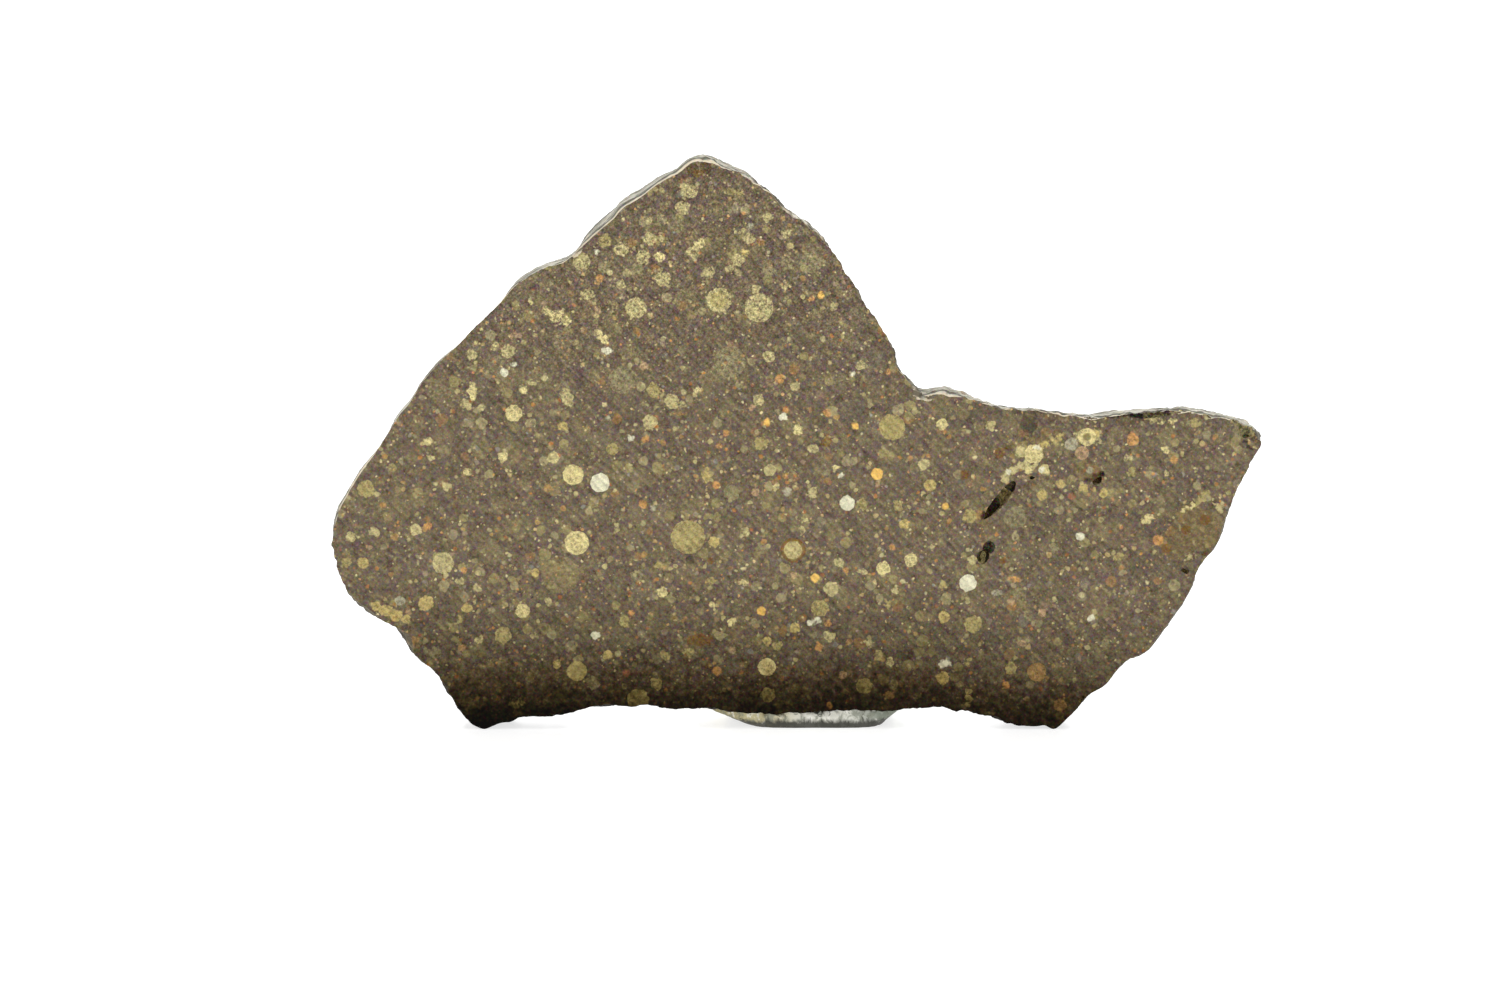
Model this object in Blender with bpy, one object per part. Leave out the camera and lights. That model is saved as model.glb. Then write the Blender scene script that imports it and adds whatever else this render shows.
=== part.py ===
"""A sawn slice of a stony meteorite, standing on two corners, with a lump of putty pressed under and behind it.

Metres, +Z up. The sawn front is flat, lies at one value of Y and faces -Y; the slice's thickness runs towards +Y.
The origin is on the floor, in the middle of the whole object seen from above.
"""

import math

import bmesh
import bpy
import numpy as np
from mathutils import Vector, noise

MM = 0.001

# The slice, in millimetres. X runs to the right and Z up from the floor, seen from the front.
THICKNESS = 5.2
OUTLINE_SPACING = 0.72
STEPS_PER_SPAN = 12
SAME_POINT = 0.01
FLARE_REACH = 1.5
CORNER_REACH = 0.9

# Each stretch of the front outline runs clockwise between two sharp corners, as (x, z).
LEFT_EDGE = [
    (-23.9, 0.0), (-24.4, 0.3), (-25.2, 1.1), (-25.9, 2.2), (-26.7, 3.5), (-27.2, 4.4), (-27.9, 5.1), (-28.5, 5.5),
    (-29.2, 6.2), (-29.5, 7.0), (-29.9, 7.5), (-31.1, 8.3), (-32.3, 9.0), (-33.4, 10.0), (-34.1, 11.1),
    (-34.7, 12.3), (-35.0, 14.5), (-34.5, 16.7), (-33.2, 19.1), (-31.5, 21.5), (-30.0, 23.9), (-29.2, 24.8),
    (-28.1, 26.6), (-26.6, 28.3), (-25.3, 29.5), (-24.4, 30.5), (-22.2, 32.6), (-21.5, 33.5), (-20.8, 34.1),
    (-18.8, 35.2), (-17.9, 35.4), (-17.0, 35.9), (-16.2, 36.7), (-14.8, 38.0), (-13.6, 39.0), (-13.2, 39.6),
    (-11.7, 40.5), (-10.3, 41.6), (-8.8, 42.3), (-8.2, 43.0), (-7.2, 43.3),
]
PEAK_SLOPE = [
    (-7.2, 43.3), (-6.5, 43.2), (-5.6, 42.7), (-3.5, 41.7), (-2.0, 40.6), (-0.8, 39.3), (0.1, 38.6), (0.9, 38.2),
    (2.0, 37.3), (2.6, 36.3), (3.6, 34.7), (4.3, 33.6), (5.6, 31.4), (6.9, 29.6), (7.3, 28.9), (7.7, 27.3),
    (8.6, 26.2), (9.4, 25.3),
]
ARM_TOP = [
    (9.4, 25.3), (10.1, 25.5), (11.1, 25.6), (13.0, 25.2), (15.1, 24.5), (17.8, 24.3), (21.2, 23.8), (22.7, 23.8),
    (24.8, 24.1), (28.7, 24.2), (31.8, 23.7), (32.9, 23.5), (33.9, 23.1), (34.5, 22.6), (35.0, 21.9),
]
RIGHT_EDGE = [
    (35.0, 21.9), (34.0, 20.2), (32.6, 17.2), (31.5, 14.1), (30.4, 12.7), (29.8, 11.3), (29.6, 10.5), (28.1, 8.4),
    (26.6, 6.2), (26.0, 5.7), (25.4, 5.7), (24.6, 5.1), (24.1, 4.6), (23.2, 3.3), (22.2, 2.8), (21.7, 2.4),
    (21.2, 1.6), (20.6, 1.0), (19.6, 0.0),
]
UNDERSIDE = [
    (19.2, 0.0), (19.1, 0.3), (18.7, 0.4), (18.2, 0.2), (17.6, 0.2), (16.7, 0.3), (15.7, 0.6), (15.2, 0.8),
    (14.4, 1.1), (11.9, 1.5), (10.2, 1.7), (9.3, 1.6), (8.5, 1.7), (7.2, 1.4), (4.0, 1.5), (2.5, 1.4),
    (0.9, 1.3), (-1.2, 1.2), (-2.2, 1.15), (-3.2, 1.25), (-5.9, 1.5), (-7.4, 1.7), (-8.8, 1.6), (-10.4, 1.7),
    (-11.3, 1.9), (-12.7, 1.8), (-14.1, 1.9), (-15.2, 1.8), (-16.9, 1.4), (-17.8, 1.1), (-18.9, 1.1),
    (-19.9, 1.0), (-20.8, 1.1), (-21.3, 0.7), (-21.9, 0.6), (-22.5, 0.4), (-23.1, 0.3), (-23.5, 0.0),
]

# How far the back outline stands outside the front one (or inside it, below zero) near a place, as (x, z, out).
BACK_FLARE = [
    (-35.0, 14.5, -0.3), (-33.0, 19.0, -0.5), (-29.6, 24.3, -0.2), (-26.0, 29.0, -0.6), (-23.0, 32.0, -0.5),
    (-21.0, 33.9, -0.2), (-17.8, 35.4, -0.3), (-14.8, 38.0, 0.2), (-11.7, 40.5, 0.0), (-7.2, 43.3, -0.2),
    (-4.3, 42.1, -0.1), (-2.2, 40.8, -0.8), (0.1, 38.6, -0.4), (3.6, 34.7, -0.7), (7.5, 28.0, -0.8),
    (10.2, 25.5, -0.2), (13.0, 25.2, -0.7), (16.0, 24.4, -0.6), (24.0, 24.0, -0.5), (31.8, 23.7, -0.45),
    (34.3, 22.7, -0.3),
    (32.0, 15.5, 0.4), (28.0, 8.0, 0.5), (22.5, 3.0, 0.3), (10.0, 1.6, -0.2), (0.0, 1.1, 0.0),
    (-14.0, 1.9, 0.2), (-26.0, 2.4, 0.4), (-32.3, 9.0, 0.5),
]

# The natural rim through the thickness: where its rings lie, and how uneven it is.
RIM_DEPTHS = [0.0, 0.45, 1.4, 2.6, 3.8, 4.75, THICKNESS]
RIM_BULGE = 0.12
RIM_LUMPS = ((4.5, 0.34), (1.7, 0.16))
FEET_WORN_BELOW = 0.9

# Open holes in the sawn front, as (x1, z1, x2, z2, width, depth): each runs from one point to the other.
FRONT_HOLES = [
    (16.25, 18.75, 14.25, 16.35, 1.0, 0.8),
    (14.2, 13.55, 13.85, 12.9, 0.78, 0.9),
    (22.5, 19.0, 22.8, 19.15, 0.5, 0.6),
    (17.6, 19.2, 17.65, 19.25, 0.36, 0.4),
    (29.1, 12.1, 29.3, 12.0, 0.5, 0.45),
]
# The same in the sawn back, which faces +Y.
BACK_HOLES = [
    (-13.5, 20.4, -12.2, 21.5, 0.6, 0.6),
    (6.4, 14.8, 6.9, 14.6, 0.7, 0.7),
    (24.4, 15.2, 25.0, 15.9, 0.5, 0.5),
]
# Flakes knocked off the front edge, given in the same way.
EDGE_CHIPS = [
    (24.6, 24.2, 27.8, 24.2, 0.75, 0.5),
    (33.0, 23.5, 34.5, 22.2, 1.0, 0.45),
    (9.0, 25.6, 9.8, 25.3, 0.7, 0.5),
    (-16.8, 36.0, -16.2, 36.6, 0.45, 0.3),
    (-29.6, 7.2, -29.3, 6.4, 0.5, 0.4),
    (21.6, 2.4, 21.2, 1.7, 0.5, 0.4),
]
HOLE_ROUGHNESS = 0.38
HOLE_LUMPS = 0.5

# The putty, as level sections (z, left, right, front, back), in millimetres from the sawn front.
PUTTY_SECTIONS = [
    (0.0, -3.8, 6.6, 0.45, 11.2),
    (0.35, -4.9, 7.1, 0.3, 12.0),
    (0.9, -6.3, 7.9, 0.3, 12.8),
    (1.7, -7.9, 8.5, 0.4, 13.5),
    (3.0, -8.5, 8.9, 1.0, 13.9),
    (4.8, -8.0, 8.4, 2.0, 13.3),
    (6.6, -6.9, 7.2, 2.8, 11.8),
    (8.2, -5.0, 5.3, 3.5, 10.0),
    (9.3, -2.6, 2.9, 4.2, 8.4),
    (9.7, -1.0, 1.2, 4.8, 7.4),
]
PUTTY_FRONT_SQUARENESS = 5.0
PUTTY_BACK_SQUARENESS = 2.3
PUTTY_POINTS = 56
PUTTY_ROWS_PER_SPAN = 3
PUTTY_DENTS = ((5.0, 0.9), (2.1, 0.2))
PUTTY_FLAT_BELOW = 0.6
CLEARANCE = 0.3
CUTTER_OVERSHOOT = 2.0


def clear_scene():
    """Removes whatever the scene holds."""
    for obj in list(bpy.data.objects):
        bpy.data.objects.remove(obj, do_unlink=True)


def material(name, colour, roughness):
    """A plain non-metal surface."""
    surface = bpy.data.materials.new(name)
    surface.use_nodes = True
    shader = surface.node_tree.nodes["Principled BSDF"]
    shader.inputs["Base Color"].default_value = (*colour, 1.0)
    shader.inputs["Roughness"].default_value = roughness
    shader.inputs["Metallic"].default_value = 0.0
    return surface


def lumps(place, layers):
    """Smooth unevenness at a place, summed over layers of (lump spacing, height)."""
    return sum(height * noise.noise(Vector(place) / spacing) for spacing, height in layers)


def ramp(value, end):
    """Rises smoothly from 0 at zero to 1 at this end."""
    part = min(max(value / end, 0.0), 1.0)
    return part * part * (3 - 2 * part)


def curve_at(knots, rows):
    """The smooth curve through the knots, read at these rows: 0 is the first knot, 1 the second, and so on."""
    knots = np.array(knots, float)
    before = np.vstack([2 * knots[0] - knots[1], knots[:-1]])
    after = np.vstack([knots[1:], 2 * knots[-1] - knots[-2]])
    slopes = (after - before) / 2
    start = np.minimum(rows.astype(int), len(knots) - 2)
    step = (rows - start)[:, None]
    return (
        knots[start] * (2 * step**3 - 3 * step**2 + 1)
        + slopes[start] * (step**3 - 2 * step**2 + step)
        + knots[start + 1] * (3 * step**2 - 2 * step**3)
        + slopes[start + 1] * (step**3 - step**2)
    )


def through(points, spacing):
    """A smooth curve through the points, as evenly spaced ones that keep both ends."""
    spans = len(points) - 1
    dense = curve_at(points, np.linspace(0, spans, spans * STEPS_PER_SPAN + 1))
    length = np.concatenate([[0], np.cumsum(np.linalg.norm(np.diff(dense, axis=0), axis=1))])
    wanted = np.linspace(0, length[-1], max(2, round(length[-1] / spacing)) + 1)
    return np.column_stack([np.interp(wanted, length, values) for values in dense.T])


def front_outline():
    """The sawn front's outline as (x, z) points, clockwise seen from the front."""
    stretches = [LEFT_EDGE, PEAK_SLOPE, ARM_TOP, RIGHT_EDGE, UNDERSIDE]
    rows = [through(points, OUTLINE_SPACING) for points in stretches]
    joined = np.vstack(rows)
    apart = np.linalg.norm(joined - np.roll(joined, 1, axis=0), axis=1) > SAME_POINT
    return joined[apart]


def outward(outline):
    """The outward direction at each point of a clockwise outline."""
    along = np.roll(outline, -1, axis=0) - np.roll(outline, 1, axis=0)
    normals = np.column_stack([-along[:, 1], along[:, 0]])
    return normals / np.linalg.norm(normals, axis=1)[:, None]


def back_flare(x, z):
    """How far the back outline stands out at this place: nearby entries of BACK_FLARE count most."""
    weights = [1 / (FLARE_REACH**2 + (x - at_x) ** 2 + (z - at_z) ** 2) ** 2 for at_x, at_z, _ in BACK_FLARE]
    return sum(weight * out for weight, (_, _, out) in zip(weights, BACK_FLARE)) / sum(weights)


def rim_offset(x, z, depth):
    """How far the natural rim stands outside the front outline at this depth behind the front."""
    inside = ramp(depth, CORNER_REACH) * ramp(THICKNESS - depth, CORNER_REACH)
    across = depth / THICKNESS
    bulge = 4 * across * (1 - across) * RIM_BULGE
    swell = bulge + inside * lumps((x, depth, z), RIM_LUMPS)
    return (across * back_flare(x, z) + swell) * ramp(z, FEET_WORN_BELOW)


def slice_rings(grow=0.0):
    """The slice's outline at each depth, from front to back, as rings of (x, y, z)."""
    outline = front_outline()
    normals = outward(outline)
    rings = []
    for depth in RIM_DEPTHS:
        out = np.array([rim_offset(x, z, depth) for x, z in outline]) + grow
        moved = outline + normals * out[:, None]
        low = np.maximum(moved[:, 1], -grow)
        rings.append(np.column_stack([moved[:, 0], np.full(len(low), depth), low]))
    return rings


def loft(name, rings):
    """A closed solid skinned over the rings, its first and last filled in flat."""
    mesh = bmesh.new()
    rows = [[mesh.verts.new(Vector(point) * MM) for point in ring] for ring in rings]
    for near, far in zip(rows, rows[1:]):
        for here, (a, b) in enumerate(zip(near, far)):
            ahead = (here + 1) % len(near)
            mesh.faces.new((a, b, far[ahead], near[ahead]))
    mesh.faces.new(rows[0])
    mesh.faces.new(rows[-1])
    bmesh.ops.recalc_face_normals(mesh, faces=mesh.faces)
    return finish(name, mesh)


def finish(name, mesh):
    """Turns a bmesh into an object of this name."""
    data = bpy.data.meshes.new(name)
    mesh.to_mesh(data)
    mesh.free()
    obj = bpy.data.objects.new(name, data)
    bpy.context.scene.collection.objects.link(obj)
    return obj


def hide_as_cutter(obj):
    """Marks an object as a tool that isn't part of the model."""
    obj.hide_render = True
    obj.display_type = "WIRE"


def subtract(obj, cutter):
    """Cuts one object's shape out of another."""
    cut = obj.modifiers.new(cutter.name, "BOOLEAN")
    cut.operation = "DIFFERENCE"
    cut.solver = "EXACT"
    cut.object = cutter


def add_hollow(mesh, hollow, at_y, face):
    """Adds one uneven, stretched ball to a cutter: half of it reaches behind the face that it is sunk in."""
    x1, z1, x2, z2, width, depth = hollow
    middle = Vector(((x1 + x2) / 2, at_y, (z1 + z2) / 2))
    run = Vector((x2 - x1, 0, z2 - z1))
    along = run.normalized()
    across = Vector((along.z, 0, -along.x))
    half_length = run.length / 2 + width / 2
    ball = bmesh.ops.create_icosphere(mesh, subdivisions=2, radius=1.0)
    for vert in ball["verts"]:
        local = vert.co.copy()
        place = (
            middle
            + along * local.x * half_length
            + across * local.z * width / 2
            + Vector((0, face * local.y * depth, 0))
        )
        uneven = 1 + HOLE_ROUGHNESS * noise.noise(place / HOLE_LUMPS)
        vert.co = (middle + (place - middle) * uneven) * MM


def hole_cutter():
    """Every open hole and edge flake of the slice, as one cutter of separate balls."""
    mesh = bmesh.new()
    for hollow in FRONT_HOLES + EDGE_CHIPS:
        add_hollow(mesh, hollow, 0.0, 1)
    for hollow in BACK_HOLES:
        add_hollow(mesh, hollow, THICKNESS, -1)
    bmesh.ops.recalc_face_normals(mesh, faces=mesh.faces)
    cutter = finish("hole_cutter", mesh)
    hide_as_cutter(cutter)
    return cutter


def build_slice():
    """The stone: two flat sawn faces, the uneven natural rim between them, its holes and its chips."""
    stone = loft("meteorite_slice", slice_rings())
    subtract(stone, hole_cutter())
    stone.data.materials.append(material("meteorite_stone", (0.16, 0.13, 0.10), 0.5))
    return stone


def putty_ring(section):
    """One level outline of the putty: squarer in front, under the slice, and dented by fingers behind it."""
    z, left, right, front, back = section
    ring = []
    for index in range(PUTTY_POINTS):
        turn = 2 * math.pi * index / PUTTY_POINTS
        wide, deep = math.cos(turn), math.sin(turn)
        squareness = PUTTY_FRONT_SQUARENESS if deep < 0 else PUTTY_BACK_SQUARENESS
        round_x = math.copysign(abs(wide) ** (2 / squareness), wide)
        round_y = math.copysign(abs(deep) ** (2 / squareness), deep)
        x = (left + right) / 2 + (right - left) / 2 * round_x
        y = (front + back) / 2 + (back - front) / 2 * round_y
        dent = lumps((x, y, z), PUTTY_DENTS) * ramp(z, PUTTY_FLAT_BELOW) * ramp(y, THICKNESS)
        ring.append((x + dent * wide, y + dent * deep, z))
    return ring


def putty_sections():
    """The putty's sections with more rows between them, along smooth curves."""
    spans = len(PUTTY_SECTIONS) - 1
    return curve_at(PUTTY_SECTIONS, np.linspace(0, spans, spans * PUTTY_ROWS_PER_SPAN + 1))


def clearance_cutter():
    """The slice grown by the gap that the putty keeps to it, and a little longer in front."""
    rings = slice_rings(CLEARANCE)
    rings[0][:, 1] = -CUTTER_OVERSHOOT
    rings[-1][:, 1] = THICKNESS + CLEARANCE
    cutter = loft("slice_clearance", rings)
    hide_as_cutter(cutter)
    return cutter


def build_putty():
    """The lump of putty, with the slice's print pressed into it and a flat foot."""
    putty = loft("putty_rest", [putty_ring(section) for section in putty_sections()])
    subtract(putty, clearance_cutter())
    putty.data.materials.append(material("putty", (0.62, 0.60, 0.50), 0.6))
    return putty


def centre_on_origin(objects):
    """Moves everything so that the origin is below the middle of the kept objects."""
    bpy.context.view_layer.update()
    graph = bpy.context.evaluated_depsgraph_get()
    corners = [Vector(corner) for obj in objects for corner in obj.evaluated_get(graph).bound_box]
    middle_x = (min(c.x for c in corners) + max(c.x for c in corners)) / 2
    middle_y = (min(c.y for c in corners) + max(c.y for c in corners)) / 2
    for obj in bpy.data.objects:
        obj.location -= Vector((middle_x, middle_y, 0))


clear_scene()
centre_on_origin([build_slice(), build_putty()])
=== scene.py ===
"""The looks of a sawn meteorite slice that stands against a lump of putty: its stone, its natural rim and its putty.

Every object is in metres, in the CAD's own frame: the sawn front faces -Y. Patterns are laid out in millimetres.
"""

import math

import bmesh
import bpy
from mathutils.bvhtree import BVHTree
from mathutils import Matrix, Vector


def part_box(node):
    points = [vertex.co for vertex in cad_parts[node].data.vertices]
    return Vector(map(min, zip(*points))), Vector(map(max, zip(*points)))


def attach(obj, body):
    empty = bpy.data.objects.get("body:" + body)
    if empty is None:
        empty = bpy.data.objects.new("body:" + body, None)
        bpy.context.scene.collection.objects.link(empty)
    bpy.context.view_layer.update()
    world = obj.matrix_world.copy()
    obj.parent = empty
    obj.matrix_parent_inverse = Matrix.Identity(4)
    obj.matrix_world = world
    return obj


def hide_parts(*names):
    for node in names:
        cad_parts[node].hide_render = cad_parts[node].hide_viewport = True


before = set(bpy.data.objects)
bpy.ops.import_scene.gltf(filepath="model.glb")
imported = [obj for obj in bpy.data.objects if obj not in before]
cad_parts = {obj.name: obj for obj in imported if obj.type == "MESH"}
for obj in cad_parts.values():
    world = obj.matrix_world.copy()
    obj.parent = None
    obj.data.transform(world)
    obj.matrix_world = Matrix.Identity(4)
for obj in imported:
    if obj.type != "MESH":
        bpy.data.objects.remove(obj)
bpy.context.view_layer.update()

MM = 0.001

# The view of the photograph, 1500 pixels wide and 1000 high.
PHOTO_WIDTH_PX = 1500
PHOTO_CENTRE_PX = (750.0, 500.0)
LENS_MM = 175.56
SENSOR_MM = 36.0
LOOKING_DOWN = math.radians(9.0)
AIM_X_MM = -3.55
AIM_Z_MM = 17.56
DISTANCE_MM = 550.7
FRONT_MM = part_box("meteorite_slice")[0].y / MM
BACK_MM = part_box("meteorite_slice")[1].y / MM

# How near each other two corners of the CAD's triangles have to be to be one point.
JOIN_WITHIN_MM = 0.004

# The stone's rim: how finely it is divided, and how its weathered surface stands off the CAD's.
RIM_LEVELS = 2
RIM_ROUGHNESS = ((1.1, 0.16), (0.42, 0.09), (0.2, 0.04))
SMOOTH_BELOW = math.radians(38)

# The rim's faces are found outwards from a strip along its middle, which reaches this far to both sides.
RIM_MIDDLE_MM = 0.5

# What counts as lying in a sawn face: how far from its plane, and how straight it faces.
ON_PLANE_MM = 0.004
FLAT_NORMAL = 0.999

# The flakes knocked off the arm's front edge: from how far right, how deep behind the front, and how much they lean.
DARK_FLAKES_FROM_MM = 20.0
FLAKE_DEPTH_MM = 0.7
FLAKE_LEAN = 0.25

# The putty: how near the stone it is pressed, and its own unevenness.
PRESSED_WITHIN_MM = 0.42
PRESSED_INTO_MM = 0.03
PUTTY_ROUGHNESS = ((1.3, 0.14), (0.5, 0.05))

# The light.
SKY_STRENGTH = 0.85
OVERHEAD_WATTS = 2.5
OVERHEAD_SIDE = 0.8
OVERHEAD_PLACE = (0.0, -0.12, 0.9)
FLOOR_SIDE = 6.0
FLOOR_GLOW = 0.7

# Tones are written as the photograph shows them. This light makes a surface brighter than its own colour by this much.
LIGHT_GAIN = 1.03

# Tones of the grains, with how strongly each covers what lies under it.
GRAIN_TONES = {
    # Painted shadow in the cracks and holes of the front.
    "pit_shadow": ("150e07", 0.95),
    "shade": ("3a332a", 0.55),
    "umber": ("47351a", 0.75),
    "clay": ("83714a", 0.60),
    "faint": ("958659", 0.40),
    "green": ("a19970", 0.48),
    "olive": ("b0a269", 0.80),
    "tan": ("af8c59", 0.80),
    "pale": ("c5b983", 0.82),
    "brown": ("77552a", 0.78),
    "grey": ("b3ae92", 0.80),
    "pink": ("c2a27a", 0.70),
    "red": ("a26a4c", 0.70),
    "orange": ("cf9a5c", 0.78),
    "yellow": ("c9b472", 0.82),
    "amber": ("f0c268", 0.90),
    "cream": ("dfd092", 0.86),
    "white": ("e0dcbc", 0.94),
}

# These kinds are of one even tone inside.
SMOOTH_KINDS = ("white", "amber")

# How soft a grain's edge is, in square millimetres between the distance and the grain's radius, both squared.
GRAIN_EDGE = 0.045

# A grain this many times as long as it is wide is a row of balls: how many for each such length, and how large its
# end balls are beside its middle one.
LONG_FROM = 1.55
BALLS_PER_LENGTH = 1.1
FEWEST_BALLS = 3
GRAIN_TIP = 0.72

# How much larger the balls of one kind are than its widest grain.
BALL_MARGIN = 1.05

# The ground between the grains, as a ramp over cloudy noise, and its mauve patches.
GROUND_TONES = [(0.3, "594c3b"), (0.42, "6a5d49"), (0.52, "756850"), (0.62, "807355"), (0.72, "8c7f5a")]
MAUVE = "6a5c56"

# The small grains scattered through the stone, in the order in which they are laid: the spacing of their cells in
# millimetres, the share of cells that hold one, their smallest and largest reach in a cell, how soft their edge is,
# how strongly they cover, and their tones as a ramp.
SMALL_GRAINS = [
    (1.9, 0.5, (0.3, 0.55), 0.05, 0.28, [
        (0.0, "8f845d"), (0.3, "988d61"), (0.45, "62564a"), (0.6, "9b9067"), (0.8, "73685e"), (1.0, "87714f"),
    ]),
    (0.95, 0.52, (0.2, 0.5), 0.05, 0.6, [
        (0.0, "a99d69"), (0.25, "94875b"), (0.42, "5f5347"), (0.6, "b8ac7c"), (0.8, "7d7468"), (1.0, "a27a47"),
    ]),
    (0.5, 0.5, (0.18, 0.52), 0.1, 0.75, [
        (0.0, "c9bc82"), (0.25, "95885f"), (0.45, "55493d"), (0.62, "d2c791"), (0.8, "b08850"), (1.0, "8f8e86"),
    ]),
    (0.66, 0.16, (0.12, 0.28), 0.08, 0.65, [
        (0.0, "c98545"), (0.35, "a8683c"), (0.6, "d89a52"), (0.85, "96604a"), (1.0, "b5763f"),
    ]),
    (0.27, 0.4, (0.18, 0.52), 0.12, 0.75, [
        (0.0, "dbce92"), (0.3, "968a68"), (0.5, "4a3f34"), (0.68, "e6dba6"), (0.85, "cf8f4a"), (1.0, "9a9a92"),
    ]),
]

# Grains with wider cells than this also take the broad push below.
UNEVEN_FROM_MM = 0.9

# The larger grains of the back, which no photograph shows, are scattered in the same way.
BACK_GRAINS_MM = 3.8
BACK_GRAIN_SHARE = 0.6
BACK_GRAIN_SIZES = (0.12, 0.32)
BACK_GRAIN_TONES = [(0.0, "a59b6a"), (0.3, "c2b886"), (0.5, "8f8660"), (0.7, "a08a5a"), (1.0, "7f837c")]

# How the outlines of the grains are made uneven: the spacing and the reach of each push, in millimetres.
OUTLINE_PUSHES = ((0.42, 0.1), (0.14, 0.028))
BROAD_PUSH = (1.0, 0.16)

# The fine crystals within the grains and the ground. They show more clearly higher up, where their stronger contrast
# is
# painted light and shade: each pair of values holds at the lower and at the upper of the two heights.
SPECKLE_MM = 0.2
FINE_SPECKLE_MM = 0.13
FINE_FROM_TO_MM = (20.0, 34.0)
DARK_CRYSTALS = (0.42, 0.78)
FINE_SPECKLE_CONTRAST = (0.4, 2.6)

# How far behind a sawn face a place has to be to count as inside a hole, and the tones in there, which are partly the
# holes' own brown and partly painted shade of their depth.
HOLE_FROM_MM = 0.03
HOLE_FULL_MM = 0.4
HOLE_TONES = [(0.38, "1c140b"), (0.48, "4c3f27"), (0.58, "75653f"), (0.68, "98895c")]

# The saw's marks on the flat faces: relief, and in the colour partly painted light and shade of their grooves.
SAW_PITCH_MM = 0.52
SAW_CONTRAST = 0.2
SAW_STREAK = 0.16
SLANT = math.sqrt(0.5)

# How high above the floor the painted shade at the stone's foot reaches, and the light that is left in it, from the
# floor up. A part of this painted shade lies under the larger grains and the rest over them.
SHADE_REACH_MM = 12.0
FOOT_SHADES = [
    (0.0, "120f06"), (0.07, "29230f"), (0.15, "4a412b"), (0.24, "6b634d"), (0.33, "948977"), (0.44, "b6b2a8"),
    (0.6, "d8d7d1"), (0.85, "f3f2f0"), (1.0, "ffffff"),
]
UNDER_GRAINS = 0.4
OVER_GRAINS = 0.6

# The weathered rim: its streaks and spots, the pale line at the front cut, the dark one inside it, the dark back edge
# and painted shade on its faces that look down and to the right.
RIM_TONES = [(0.32, "5f5d50"), (0.42, "949184"), (0.5, "bebaab"), (0.58, "d9d5c6"), (0.7, "efeada")]
RIM_SPOT_TONES = [(0.0, "77756a"), (0.3, "e6dcc0"), (0.5, "96948a"), (0.75, "f3e6c8"), (1.0, "8a6c48")]
CUT_LINE = "f0dfc0"
INNER_LINE = "4b493c"
BACK_LINE = "56564c"
SHADED_SIDE = "544c3c"

# The putty, as a ramp from its left to its right, greener at the right and darker there as painted shade, with its
# grey and its white blotches, its specks and a painted contact shadow at its foot.
PUTTY_TONES = [
    (0.12, "6f6840"), (0.2, "a89c6c"), (0.36, "c8bd92"), (0.48, "d3ceb4"), (0.56, "e4e2d4"), (0.74, "d9dace"),
    (0.83, "838a7a"), (0.92, "8d9484"),
]
PUTTY_GREY = "8b8f7e"
PUTTY_WHITE = "f4f2e8"
PUTTY_SPECKS = "5d5f4e"
PUTTY_CONTACT_SHADOW = "26251a"

# Broad soft areas of painted shade on the front, as (x, y, width, height, share of light kept).
SHADES_PX = [
    (905, 300, 110, 150, 0.80),
    (1090, 408, 260, 46, 0.82),
    (1190, 540, 120, 150, 0.88),
    (1060, 520, 150, 120, 0.93),
    (350, 560, 80, 120, 0.95),
]

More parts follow.
